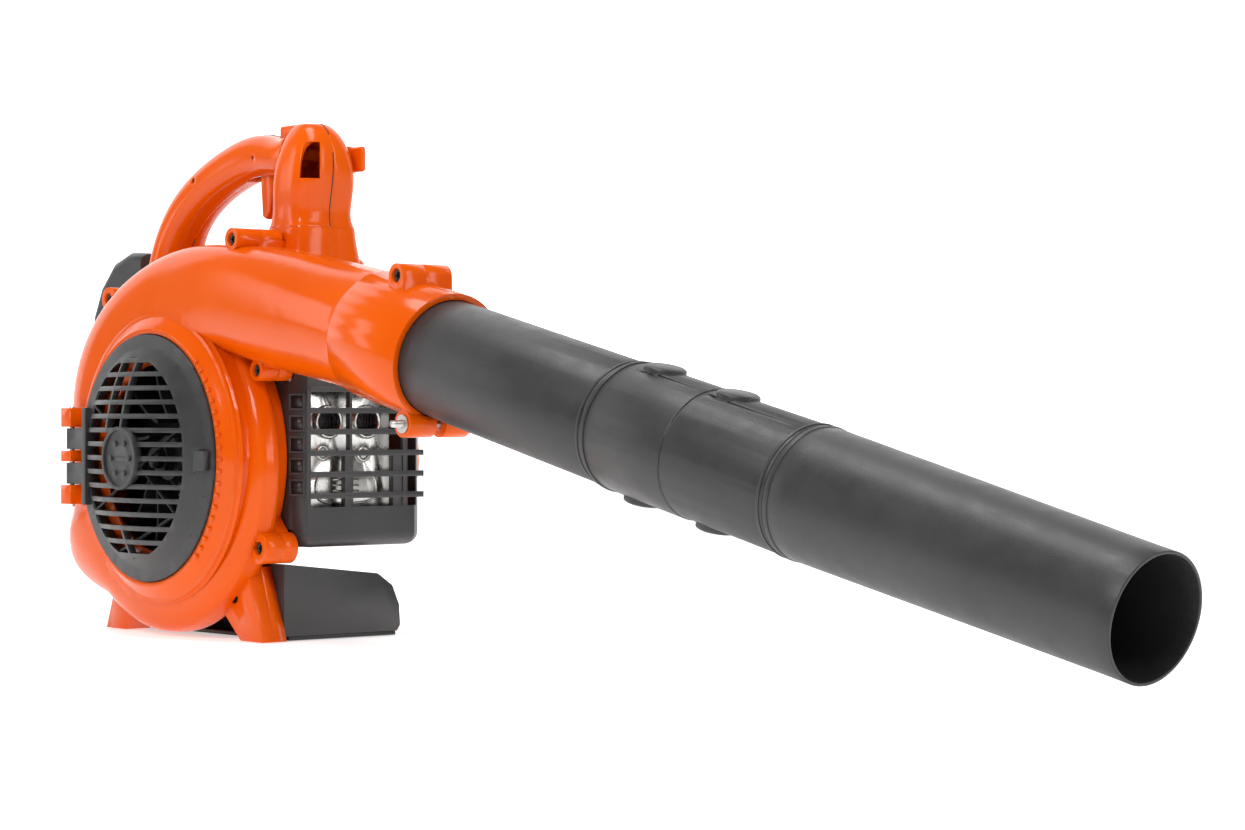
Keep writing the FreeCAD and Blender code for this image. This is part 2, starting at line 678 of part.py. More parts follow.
def make_muffler_shell(low_x, high_x, closed_end):
    """Half of a pressed steel box."""
    block_shape = box_between((low_x, MUFFLER_LOW.y, MUFFLER_LOW.z),
                              (high_x, MUFFLER_HIGH.y, MUFFLER_HIGH.z))
    shell = rounded(block_shape, 12, upright)
    sheet_steel = 1.2
    hollow_low = low_x + (sheet_steel if closed_end == "low" else -1)
    hollow_high = high_x - (sheet_steel if closed_end == "high" else -1)
    hollow = box_between((hollow_low, MUFFLER_LOW.y + sheet_steel, MUFFLER_LOW.z + sheet_steel),
                         (hollow_high, MUFFLER_HIGH.y - sheet_steel, MUFFLER_HIGH.z - sheet_steel))
    return shell.cut(rounded(hollow, 10.8, upright))


muffler_body = make_muffler_shell(MUFFLER_LOW.x, MUFFLER_SPLIT, "low")
exhaust_port = round_bar(6.5, (50, CASE_MIDDLE, AXIS_Z + 48), (60, CASE_MIDDLE, AXIS_Z + 48))
muffler_body = muffler_body.cut(exhaust_port)
feature("muffler_body", muffler_body)
PORTS = [(-6, 154), (27, 154)]
EYES = [(-9, 132), (26, 131)]
cover = make_muffler_shell(MUFFLER_SPLIT, MUFFLER_HIGH.x, "high")
flange = box_between((MUFFLER_SPLIT, MUFFLER_LOW.y - 2.5, MUFFLER_LOW.z - 2.5),
                     (MUFFLER_SPLIT + 2, MUFFLER_HIGH.y + 2.5, MUFFLER_HIGH.z + 2.5))
flange = rounded(flange, 13, lambda e: abs(e.BoundBox.XLength - 2) < 0.01 and e.BoundBox.YLength < 0.01)
flange = flange.cut(box_between((0, MUFFLER_LOW.y + 1.2, MUFFLER_LOW.z + 1.2), (200, MUFFLER_HIGH.y - 1.2,
                                                                                MUFFLER_HIGH.z - 1.2)))
cover = joined([cover, flange])
for y, z in PORTS:
    cover = joined([cover, round_bar(12, (MUFFLER_HIGH.x - 1, y, z), (MUFFLER_HIGH.x + 3, y, z))])
for y, z in PORTS:
    cover = cover.cut(round_bar(9.6, (MUFFLER_HIGH.x - 9, y, z), (MUFFLER_HIGH.x + 4, y, z)))
for y, z in EYES:
    cover = cover.cut(round_bar(4.2, (MUFFLER_HIGH.x - 9, y, z), (MUFFLER_HIGH.x + 4, y, z)))
feature("muffler_cover", cover)
gasket = padded_body("muffler_gasket", [(-7.5, -14), (7.5, -14), (7.5, 14), (-7.5, 14)], 4,
                     (52, CASE_MIDDLE, AXIS_Z + 48), "X", [(6.5, (0, 0))])
node("muffler_gasket", gasket)

# ---------------------------------------------------------------- muffler guard
GUARD_X = 119
GUARD_LOW = 66
GUARD_TOP = 200


def make_muffler_guard():
    """Moulded cage round the muffler, open towards the engine."""
    plan = [(60, -37.2), (104, -37.2), (GUARD_X, -31), (GUARD_X, 62), (112, 70), (60, 70)]
    inside = [(59, -34), (103, -34), (GUARD_X - 3, -28.5), (GUARD_X - 3, 60), (110, 67), (59, 67)]

    def column(points, low, high):
        corners = [vec(x, y, low) for x, y in points]
        return Part.Face(Part.makePolygon(corners + corners[:1])).extrude(vec(0, 0, high - low))

    shell = column(plan, GUARD_LOW, GUARD_TOP)
    shell = rounded(shell, 9, lambda e: e.BoundBox.ZMax < GUARD_LOW + 0.01 and e.BoundBox.XMax > 60.5)
    shell = shell.cut(column(inside, GUARD_LOW + 3.5, GUARD_TOP - 3))
    slant = prism([(104, GUARD_TOP + 1), (GUARD_X + 1, GUARD_TOP + 1), (GUARD_X + 1, GUARD_TOP - 12)],
                  -60, 90)
    front = box_between((GUARD_X - 5, -28, 94), (GUARD_X + 5, 52, 178))
    side = box_between((GUARD_X - 12, 56, 94), (GUARD_X + 5, 66, 158))
    starter_side = box_between((50, 30, GUARD_LOW + 3.5), (73, 90, GUARD_TOP - 3))
    shell = shell.cut([slant, front, side, starter_side])
    bars = []
    for step in range(6):
        height = 100 + step * S["guard_pitch"]
        top_end = 70 if step < 5 else 52
        bars.append(box_between((GUARD_X - 3, -29, height),
                                (GUARD_X + 0.5, top_end, height + S["guard_bar"])))
    for y, width, high in ((6, 2, 178), (2, 7, 134), (44, 8, 134)):
        bars.append(box_between((GUARD_X - 6, y, 92), (GUARD_X - 1, y + width, high)))
    return joined([shell] + bars)


beside_bosses = [bar_y(12.5, 104, 66, -70, -35), bar_y(8.5, 101, 190, -70, -34)]
muffler_guard = make_muffler_guard().cut(channel(-1) + beside_bosses)
feature("muffler_guard", muffler_guard)

# ---------------------------------------------------------------- intake side
PORT_Z = AXIS_Z + 60
insulator = block("insulator_block", 9.5, 28, 26, (-52, CASE_MIDDLE - 14, PORT_Z - 13))
insulator_bore = rod("insulator_bore", 7, 12, (-53, CASE_MIDDLE, PORT_Z), "X")
node("intake_insulator", cut("intake_insulator", insulator, [insulator_bore]))
carb_block = block("carb_block", 34, 34, 36, (-86.4, CASE_MIDDLE - 17, PORT_Z - 18))
carb_bore = rod("carb_bore", 7, 36, (-87.4, CASE_MIDDLE, PORT_Z), "X")
throttle_hole = rod("throttle_hole", "2 + dims.running_gap", 20, (-66, CASE_MIDDLE + 12, PORT_Z - 1), "Z")
node("carburettor", cut("carburettor", carb_block, [carb_bore, throttle_hole]))
THROTTLE = vec(-66, CASE_MIDDLE + 12, PORT_Z + 18)
throttle_pin = rod("throttle_pin", 2, 22, (THROTTLE.x, THROTTLE.y, PORT_Z), "Z")
throttle_blade = block("throttle_blade", 14, 5, 2, (THROTTLE.x - 7, THROTTLE.y - 2.5, THROTTLE.z + 0.5))
node("throttle_arm", fused("throttle_arm", [throttle_pin, throttle_blade]))

box_plate = block("box_plate", 9, 78, 80, (-96, -12, 150))
box_port = rod("box_port", 7, 12, (-97, CASE_MIDDLE, PORT_Z), "X")
PRIMER_Z = 128
primer_arm = block("primer_arm", 24, 14, 24, (-96, 52, PRIMER_Z))
primer_cup = rod("primer_cup", 9.4, 5.1, (-84, 61.9, PRIMER_Z + 11))
air_plate = fused("air_plate", [box_plate, primer_arm])
node("air_box", cut("air_box", air_plate, [box_port, primer_cup]))
element = block("filter_block", 22, 66, 72, (-118.4, -6, 156))
element_bore = block("filter_bore", 15, 40, 46, (-111, 7, 169))
node("air_filter", cut("air_filter", element, [element_bore]))
COVER_X = -97


def make_filter_cover():
    """Domed cover over the filter, hinged on its far side."""
    rim = [(COVER_X, 148), (COVER_X, 236), (-125, 237.5), (-126, 282), (-146, 284), (-168, 277), (-187, 259),
           (-199, 236), (-203, 208), (-198, 176), (-184, 152), (-176, 148)]
    solid = prism(rim, -15, 71)
    solid = rounded(solid, 8, lambda e: e.BoundBox.YLength < 0.01 and e.BoundBox.XMax < -125)
    inner = [(COVER_X + 1, 151), (COVER_X + 1, 233), (-128, 234.5), (-129, 279), (-146, 281), (-166, 274),
             (-184, 257), (-196, 235), (-200, 208), (-195, 177), (-182, 153), (-176, 151)]
    solid = solid.cut(prism(inner, -12.3, 68.3))
    hinge = Part.makeCylinder(4, 60, vec(COVER_X - 3, 77, 165))
    arm = box_between((COVER_X - 6, 70, 165), (COVER_X, 77, 225))
    solid = joined([solid, hinge, arm])
    return solid.cut(Part.makeCylinder(S["pin_radius"] + S["running_gap"], 80, vec(COVER_X - 3, 77, 160)))


feature("air_filter_cover", make_filter_cover())
cover_pin = rod("cover_pin_bar", "dims.pin_radius", 76, (COVER_X - 3, 77, 157), "Z")
pin_ears = [block("pin_ear_%d" % k, 12, 15, 5, (COVER_X - 6.6, 73.4, low)) for k, low in
            enumerate((158, 227))]
pin_stem = block("pin_stem", 6, 18, 76, (COVER_X + 1.5, 66, 157))
node("filter_cover_hinge", fused("filter_cover_hinge", [cover_pin, pin_stem] + pin_ears))

bulb = turned_body("primer_bulb", [(0, 0.4), (9, 0.4), (9, 3), (7.5, 8), (4, 11), (0, 12)],
                   (-84, 66, PRIMER_Z + 11))
node("primer_bulb", bulb)
CHOKE = vec(-80, 16.4, 176)
choke_rod = rod("choke_rod", 2, 56, (CHOKE.x, CHOKE.y, CHOKE.z))
choke_blade = block("choke_blade", 9, 4, 20, (CHOKE.x - 4.5, CHOKE.y + 54, CHOKE.z - 14))
node("choke_lever", fused("choke_lever", [choke_rod, choke_blade]))

# ---------------------------------------------------------------- fuel tank
TANK_LOW = vec(-150, -10, 56)
TANK_HIGH = vec(-76, 88, 124)
CAP = vec(TANK_LOW.x, 40, 98)
tank = rounded(box_between(TANK_LOW, TANK_HIGH), 10, lambda edge: True)
tank_room = box_between(TANK_LOW + vec(2.5, 2.5, 2.5), TANK_HIGH - vec(2.5, 2.5, 2.5))
tank_room = rounded(tank_room, 7.5, lambda edge: True)
neck = Part.makeCylinder(17, 8, vec(CAP.x + 4, CAP.y, CAP.z), vec(-1, 0, 0))
tank = tank.cut(tank_room)
tank = joined([tank, neck]).cut(Part.makeCylinder(14, 30, vec(CAP.x + 14, CAP.y, CAP.z), vec(-1, 0, 0)))
feature("fuel_tank", tank)
cap = turned_body("fuel_cap", [
    (0, 0), (20, 0), (20, 6.8), (17.6, 6.8), (17.6, 3), (13.5, 3), (13.5, 10), (0, 10),
], (CAP.x - 7.5, CAP.y, CAP.z), "X")
lobe_sketch = new_sketch(cap, "cap_notch", "XY_Plane")
circle(lobe_sketch, 3, (21, 0))
lobe = cap.newObject("PartDesign::Pocket", "cap_notches_cut")
lobe.Profile = lobe_sketch
lobe.Length = 6
lobe.Reversed = True
polar(cap, lobe, lobe_sketch, 12, "cap_notches")
node("fuel_cap", cap)
feature("fuel_line", lead([(-82, -4, 124), (-82, -4, 137), (-75, -4, 155), (-75, -4, 170)], 2.5))

# ---------------------------------------------------------------- starter
skin = 2.5
starter_shell = turned_body("starter_shell", [
    ("dims.starter_radius - %g" % skin, 0), ("dims.starter_radius", 0), ("dims.starter_radius", 46),
    (56, 62), (20, 66), (0, 66), (0, 10), (6, 10), (6, 60), (18, 62.8), (54, 59.4),
    ("dims.starter_radius - %g" % skin, 45),
], (0, STARTER_Y, AXIS_Z))
doc.recompute()
ROPE = vec(-24, 68, AXIS_Z)
GUIDE_LOW = 186


def make_starter_housing():
    """Cover of the rope starter with air slots, screw lugs and the rope outlet."""
    solid = starter_shell.Shape.copy()
    outlet = Part.makeCylinder(9, 22, vec(ROPE.x, ROPE.y, 178))
    lugs_round = [bar_y(5, *starter_lug(angle), STARTER_Y, STARTER_Y + 8) for angle in STARTER_LUGS]
    solid = joined([solid, outlet] + lugs_round)
    slots = []
    for step in range(14):
        slot = box_between((30, 100, AXIS_Z - 1.8), (50, 130, AXIS_Z + 1.8))
        slot.rotate(vec(0, 0, AXIS_Z), vec(0, 1, 0), 360 * step / 14)
        slots.append(slot)
    slots.append(Part.makeCylinder(7.05, 15, vec(ROPE.x, ROPE.y, GUIDE_LOW)))
    slots.append(Part.makeCylinder(3, 60, vec(ROPE.x, ROPE.y, 160)))
    slots += [bar_y(2.45, *starter_lug(angle), STARTER_Y - 1, STARTER_Y + 7) for angle in STARTER_LUGS]
    return solid.cut(slots)


feature("starter_housing", make_starter_housing())
pulley = turned_body("starter_pulley", [
    ("6 + dims.running_gap", 0), (29, 0), (29, 1.6), ("dims.pulley_radius - 2", 1.6),
    ("dims.pulley_radius - 2", 8.4), (29, 8.4), (29, 10), ("6 + dims.running_gap", 10),
], (0, ROPE.y - 5, AXIS_Z))
node("starter_pulley", pulley)
spring_pack = turned_body("recoil_spring", [(9, 0), (28, 0), (28, 7), (9, 7)], (0, 80, AXIS_Z))
node("recoil_spring", spring_pack)
guide = turned_body("rope_guide", [(2.4, 0), (7, 0), (7, 14), (9, 14), (9, 16.5), (4, 16.5), (2.4, 14.5)],
                    (ROPE.x, ROPE.y, GUIDE_LOW), "Z")
node("rope_guide", guide)
ROPE_TOP = 208.5
node("starter_rope", rod("starter_rope", "dims.rope_radius", ROPE_TOP - AXIS_Z,
                         (ROPE.x, ROPE.y, ROPE.z), "Z"))
GRIP_Z = ROPE_TOP - 5
grip_shape = joined([
    Part.makeCone(6, 9, 14, vec(ROPE.x, ROPE.y, GRIP_Z)),
    rounded(box_between((ROPE.x - 7, ROPE.y - 27, GRIP_Z + 12), (ROPE.x + 7, ROPE.y + 27, GRIP_Z + 28)), 5,
            lambda edge: True),
])
grip_shape = grip_shape.cut(Part.makeCylinder(1.62, 5, vec(ROPE.x, ROPE.y, GRIP_Z)))
feature("starter_grip", grip_shape)

# ---------------------------------------------------------------- stand
def make_stand():
    """Hollow foot with a sloping, rounded deck and a tunnel through the middle."""
    half = S["stand_half"]
    near = FOOT_BACK + 0.5
    far = near + S["stand_depth"]
    base = S["plate_thickness"]
    top = S["stand_height"]

    def profile(inset):
        outer = [(near + inset, base - (1 if inset else 0)), (near + inset, top + 2 - inset),
                 (far - 20, top - 7 - inset), (far - 7, top - 16 - inset), (far - 1 - inset, top - 30),
                 (far - inset, base + 4), (far - 3 - inset, base - (1 if inset else 0))]
        corners = [vec(inset - half, y, z) for y, z in outer]
        face = Part.Face(Part.makePolygon(corners + corners[:1]))
        return face.extrude(vec(2 * (half - inset), 0, 0))

    solid = rounded(profile(0), 4, lambda e: e.BoundBox.XLength > 2 * half - 1 and e.BoundBox.ZMin > base + 1
                    and e.BoundBox.YMin > 0)
    solid = solid.cut(profile(3))
    tunnel = box_between((-52, near - 5, -5), (52, far + 5, 36))
    ribs = [box_between((x, near, base), (x + 3, far - 8, 37)) for x in (-55, 52)]
    solid = joined([solid.cut(tunnel)] + [rib.common(profile(1)) for rib in ribs])
    holes = [bar_y(2.45, side * FOOT_HOLE.x, FOOT_HOLE.z, near - 1, near + 12) for side in (-1, 1)]
    return solid.cut(channel(-0.5) + holes)


stand = make_stand()
feature("stand", stand)
base_plate = block("stand_base_plate", "2 * dims.stand_half", 93, "dims.plate_thickness",
                   (-S["stand_half"], -33.5, 0))
node("stand_base_plate", base_plate)

# ---------------------------------------------------------------- engine shroud and handle
DECK_TOP = 271
LEG_BASE = 243
SEAM_Y = 1


def arch_sections(inset):
    """Grip from the rear leg up and over to the front post."""
    places = [(-103, LEG_BASE, 94, 19, 25, 3), (-102, 257, 91, 16.5, 22.5, 2.6),
              (-97, 282, 73, 15.5, 19.5, 2.4),
              (-82, 306, 52, 16, 17.5, 2.4), (-52, 327, 33, 16, 17, 2.4), (-15, 341, 17, 16, 17, 2.4),
              (30, 347, 5, 15.5, 17.5, 2.4), (68, 346, -3, 17, 19, 2.4)]
    sections = []
    for x, z, angle, half_thick, half_wide, power in places:
        outward = vec(-math.sin(math.radians(angle)), 0, math.cos(math.radians(angle)))
        sections.append(ring_section(vec(x, 0, z), outward, half_thick - inset, half_wide - inset, power))
    return sections


def upright_sections(places, inset):
    """Level sections of a post."""
    return [ring_section(vec(x, 0, z), vec(1, 0, 0), half_x - inset, half_y - inset, power)
            for x, z, half_x, half_y, power in places]


POST_FOOT = [(80, 292, 22.5, 26.5, 5), (80, 306, 21, 24.5, 4.5), (82, 325, 22.5, 25.5, 4),
             (83, 344, 22, 23, 3.2)]
POST = POST_FOOT + [(82, 358, 18, 17.5, 2.6), (80, 366, 11, 11, 2.2)]
POST_ROOM = [(80, 291, 22.5, 26.5, 5)] + POST_FOOT[1:] + [(82, 355, 17, 16.5, 2.6)]
STUB = [(80, DECK_TOP - 4, 26, 30, 5), (80, 280, 23.5, 28, 5), (80, 291.9, 22.5, 26.5, 5)]
HANDLE_BOSSES = [(-106, 270), (-50, 333), (78, 304), (70, 346)]
TRIGGER = vec(30, 0, 345)
CRUISE = vec(86, 26, 342)


def make_handle():
    """Hollow grip and post in one, before it is split at its seam."""
    grip = Part.makeLoft(arch_sections(0), True, False)
    post = Part.makeLoft(upright_sections(POST, 0), True, False)
    bosses = [bar_y(5, x, z, -24, 24) for x, z in HANDLE_BOSSES]
    skin = joined([grip, post])
    room = [Part.makeLoft(arch_sections(S["grip_wall"]), True, False),
            Part.makeLoft(upright_sections(POST_ROOM, S["grip_wall"]), True, False)]
    shell = skin.cut(room)
    inside = [boss.common(skin) for boss in bosses]
    shell = joined([shell] + inside)
    pocket = Part.makeLoft([
        ring_section(vec(104, -19, z), vec(0.8, -0.6, 0), half, 9, 3) for z, half in
        ((326, 13), (352, 9))], True, False)
    tools = [box_between((8, -6.4, 318), (44, 6.4, 338)), pocket,
             bar_y(2.02, TRIGGER.x, TRIGGER.z, -40, 40), bar_y(2.05, CRUISE.x, CRUISE.z, 10, 40),
             box_between((51.4, -9.6, 355), (84.6, 9.6, 380))]
    tools += [bar_y(2.45, x, z, -21, 40) for x, z in HANDLE_BOSSES]
    return shell.cut(tools)


handle = make_handle()
left_room = box_between((-FAR, -FAR, -FAR), (FAR, SEAM_Y, FAR))
right_room = box_between((-FAR, SEAM_Y, -FAR), (FAR, FAR, FAR))
feature("handle_left_half", handle.common(left_room))
feature("handle_right_half", handle.common(right_room))
feature("handle_screws", Part.makeCompound([bar_y(2.4, x, z, -15, 15) for x, z in HANDLE_BOSSES]))


def make_shroud():
    """Cover above the cylinder that carries both ends of the handle."""
    top = box_between((-84, -4, 238), (100, 36, DECK_TOP))
    top = rounded(top, 9, lambda e: e.BoundBox.ZLength > 30)
    top = rounded(top, 5, lambda e: e.BoundBox.ZMin > DECK_TOP - 0.01)
    rear = box_between((-123, -26, 238.5), (-80, 27, LEG_BASE - 1.8))
    stub = Part.makeLoft(upright_sections(STUB, 0), True, False)
    solid = joined([top, rear, stub])
    room = box_between((-81, -1, 230), (97, 33, DECK_TOP - 3))
    stub_room = Part.makeLoft(upright_sections(STUB, 3), True, False)
    holes = [Part.makeCylinder(5, 20, vec(-92, 6, 230)), box_between((-92, 2, 230), (-78, 12, 242)),
             box_between((-14, -8, 230), (14, 0, 265))]
    holes += [bar_y(8.6, 79, 282, -70, -29), box_between((70.4, -60, 255), (87.6, -27.4, 283))]
    return solid.cut([room, stub_room] + holes + channel(-0.4))


feature("engine_shroud", make_shroud())
feature("throttle_cable", lead([
    (14, 6, 342), (-16, 6, 340), (-50, 6, 321), (-80, 6, 303), (-93, 6, 278), (-94, 6, 254), (-88, 7, 238),
    (-76, 9, 224), (-72, 10, 212),
], 1.5))
trigger_outline = [(24, 349), (36, 349), (38, 330), (34.5, 306), (30, 301), (25, 303), (22.5, 330)]
trigger_side = prism(trigger_outline, -5.6, 5.6)
trigger_side = rounded(trigger_side, 1.6, lambda e: e.BoundBox.YLength < 0.01 and e.BoundBox.ZMax < 331)
grooves = [box_between((33.4, y - 0.8, 306), (40, y + 0.8, 326)) for y in (-3.2, 0, 3.2)]
pin_hole = bar_y(S["pin_radius"] + S["running_gap"], TRIGGER.x, TRIGGER.z, -20, 20)
feature("throttle_trigger", trigger_side.cut(grooves + [pin_hole]))
node("trigger_pin", rod("trigger_pin", "dims.pin_radius", 32, (TRIGGER.x, -15, TRIGGER.z)))
paddle = rounded(box_between((84, CRUISE.y, 333), (104, CRUISE.y + 4.5, 351)), 2, lambda edge: True)
cruise = joined([bar_y(10, CRUISE.x, CRUISE.z, CRUISE.y, CRUISE.y + 4.5), paddle,
                 bar_y(2, CRUISE.x, CRUISE.z, 12, CRUISE.y + 1)])
feature("cruise_lever", cruise)
button = rounded(box_between((52, -9, 358.3), (84, 9, 366.6)), 2, lambda e: e.BoundBox.ZMin > 366 or
                 e.BoundBox.ZLength > 7)
feature("stop_switch", button)

# ---------------------------------------------------------------- blower tubes
NEST = 0.35
tube_inner = S["tube_radius"] - 3.3
upper_profile = [
    (tube_inner, 0), ("dims.tube_radius - 0.3", 0), ("dims.tube_radius - 0.3", "dims.tube_insert + 18.4"),
    ("dims.tube_radius", "dims.tube_insert + 19.4"),
    ("dims.tube_radius", "dims.tube_insert + dims.collar_start"),
    ("dims.tube_radius - 1.6", "dims.tube_insert + dims.collar_start"),
    ("dims.tube_radius - 1.6", "dims.tube_insert + dims.collar_start + dims.spigot_length"),
    (tube_inner, "dims.tube_insert + dims.collar_start + dims.spigot_length"),
]
base = on_tube(-S["tube_insert"])
node("upper_tube", turned_body("upper_tube", upper_profile, (base.x, base.y, base.z), TUBE_TURN))
COLLAR_LENGTH = 72.8
middle_profile = [
    ("dims.tube_radius - 1.6 + %g" % NEST, 0.3), ("dims.collar_radius", 0.3),
    ("dims.collar_radius", COLLAR_LENGTH),
    ("dims.tube_radius", COLLAR_LENGTH + 0.8), ("dims.tube_radius", "dims.nozzle_start - dims.collar_start"),
    ("dims.tube_radius - 1.6", "dims.nozzle_start - dims.collar_start"),
    ("dims.tube_radius - 1.6", "dims.nozzle_start - dims.collar_start + dims.spigot_length"),
    (tube_inner, "dims.nozzle_start - dims.collar_start + dims.spigot_length"),
    (tube_inner, "dims.spigot_length + 4"), ("dims.tube_radius - 1.6 + %g" % NEST, "dims.spigot_length + 1"),
]
base = on_tube(S["collar_start"])
middle_turned = turned_body("middle_turned", middle_profile, (base.x, base.y, base.z), TUBE_TURN)
doc.recompute()
OUT_UP = vec(math.sin(TILT), 0, math.cos(TILT))


def lock_knobs(distance, radius):
    """Round raised knobs over a twist lock, at the top and the bottom of a tube."""
    knobs = []
    for side in (-1, 1):
        way = OUT_UP * side
        base_point = on_tube(distance) + way * (radius - 4)
        stem = Part.makeCylinder(13, 5.2, base_point, way)
        crown = Part.makeCone(13, 11.2, 1, base_point + way * 5.2, way)
        knobs.append(stem.fuse(crown))
    return knobs


keep_outside = Part.makeCylinder(S["tube_radius"] - 1, 300, on_tube(S["collar_start"]), TUBE_WAY)
knobs = lock_knobs(210, S["collar_radius"]) + lock_knobs(276, S["tube_radius"])
knobs = [knob.cut(keep_outside) for knob in knobs]
feature("middle_tube", joined([middle_turned.Shape.copy()] + knobs))
nozzle_length = S["nozzle_end"] - S["nozzle_start"]
nozzle_profile = [
    ("dims.tube_radius - 1.6 + %g" % NEST, 0.3), ("dims.tube_radius + 0.3", 0.3),
    ("dims.nozzle_radius", nozzle_length - S["mouth_length"]), ("dims.nozzle_radius", nozzle_length),
    ("dims.nozzle_radius - dims.tube_wall", nozzle_length),
    ("dims.nozzle_radius - dims.tube_wall", nozzle_length - S["mouth_length"]),
    (tube_inner, "dims.spigot_length + 4"), ("dims.tube_radius - 1.6 + %g" % NEST, "dims.spigot_length + 1"),
]
base = on_tube(S["nozzle_start"])
node("nozzle_tube", turned_body("nozzle_tube", nozzle_profile, (base.x, base.y, base.z), TUBE_TURN))

# ---------------------------------------------------------------- fasteners
screws = []
for _, x, z, _, front, back in BOSSES:
    head = bar_y(S["screw_head"], x, z, front + 5.5, front + 9)
    head = head.cut(bar_y(2, x, z, front + 5, front + 7.5))
    screws.append(joined([head, bar_y(S["screw_radius"], x, z, front + 9, back)]))
screws += [bar_y(S["screw_radius"], *starter_lug(angle), 31, STARTER_Y + 6.8) for angle in STARTER_LUGS]
feature("housing_screws", Part.makeCompound(screws))
stand_screws = []
for side in (-1, 1):
    x, z = side * FOOT_HOLE.x, FOOT_HOLE.z
    head = bar_y(4, x, z, FOOT_FRONT + 11, FOOT_FRONT + 14)
    stand_screws.append(joined([head, bar_y(2.4, x, z, FOOT_FRONT + 14, FOOT_BACK + 12)]))
feature("stand_screws", Part.makeCompound(stand_screws))
node("clamp_bolt", rod("clamp_bolt", 2.5, 66, (CLAMP.x, -80, CLAMP.z)))
node("clamp_nut", padded_body("clamp_nut", hexagon(13), 6, (CLAMP.x, -20.9, CLAMP.z), "Y",
                              [(2.55, (0, 0))]))

# ---------------------------------------------------------------- checks and export
doc.recompute()
for item in doc.Objects:
    if "Invalid" in item.State or "Error" in item.State:
        raise RuntimeError("%s failed: %s" % (item.Label, item.State))
for item in nodes:
    if item.Shape.isNull() or not item.Shape.isValid() or not item.Shape.Solids:
        raise RuntimeError("%s has no valid solid" % item.Label)
for item in nodes:
    item.Shape.exportStep("parts/%s.step" % item.Label)
print(len(nodes), "sub-parts written")
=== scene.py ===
import bpy
import bmesh
import json
import math
from mathutils import Matrix, Vector
from mathutils.bvhtree import BVHTree


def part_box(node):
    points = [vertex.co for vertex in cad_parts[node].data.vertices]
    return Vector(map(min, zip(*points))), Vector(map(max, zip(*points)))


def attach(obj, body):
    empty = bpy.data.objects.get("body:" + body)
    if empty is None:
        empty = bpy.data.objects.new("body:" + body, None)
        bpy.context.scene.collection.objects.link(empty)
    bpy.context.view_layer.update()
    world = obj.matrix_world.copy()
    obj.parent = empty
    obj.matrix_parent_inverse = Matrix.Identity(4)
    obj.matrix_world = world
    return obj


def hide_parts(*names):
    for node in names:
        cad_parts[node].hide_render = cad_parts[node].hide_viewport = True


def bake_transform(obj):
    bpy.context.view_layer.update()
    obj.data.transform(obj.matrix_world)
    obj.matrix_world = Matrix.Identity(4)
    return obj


# Looks of the hand-held leaf blower, built round the CAD frame. Metres; +X is the blowing
# direction, the intake guard faces -Y and the floor is z = 0.

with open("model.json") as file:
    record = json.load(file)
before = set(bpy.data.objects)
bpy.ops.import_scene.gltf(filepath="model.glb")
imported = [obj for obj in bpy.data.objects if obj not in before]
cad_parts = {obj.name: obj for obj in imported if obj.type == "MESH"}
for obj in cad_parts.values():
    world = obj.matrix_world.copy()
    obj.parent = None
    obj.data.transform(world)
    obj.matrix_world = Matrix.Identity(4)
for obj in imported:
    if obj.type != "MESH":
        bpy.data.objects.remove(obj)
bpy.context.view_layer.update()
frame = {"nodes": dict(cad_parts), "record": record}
nodes = frame["nodes"]

# ---------------------------------------------------------------- named sizes
FAN_AXIS_Z = 0.128
TUBE_TILT = math.radians(13.35)
TUBE_START = Vector((0.2978, -0.045, 0.1951))
TUBE_WAY = Vector((math.cos(TUBE_TILT), 0, -math.sin(TUBE_TILT)))
TUBE_UP = Vector((math.sin(TUBE_TILT), 0, math.cos(TUBE_TILT)))
SEAM_RADIUS = 0.0004


# ---------------------------------------------------------------- materials
def socket(node, name, value):
    node.inputs[name].default_value = value


def new_material(name):
    material = bpy.data.materials.new(name)
    material.use_nodes = True
    shader = material.node_tree.nodes["Principled BSDF"]
    return material, material.node_tree, shader


def noise(tree, coordinates, scale, detail=3.0):
    node = tree.nodes.new("ShaderNodeTexNoise")
    socket(node, "Scale", scale)
    socket(node, "Detail", detail)
    tree.links.new(coordinates, node.inputs["Vector"])
    return node


def remap(tree, value, low, high):
    node = tree.nodes.new("ShaderNodeMapRange")
    socket(node, "From Min", 0.3)
    socket(node, "From Max", 0.7)
    socket(node, "To Min", low)
    socket(node, "To Max", high)
    tree.links.new(value, node.inputs["Value"])
    return node.outputs["Result"]


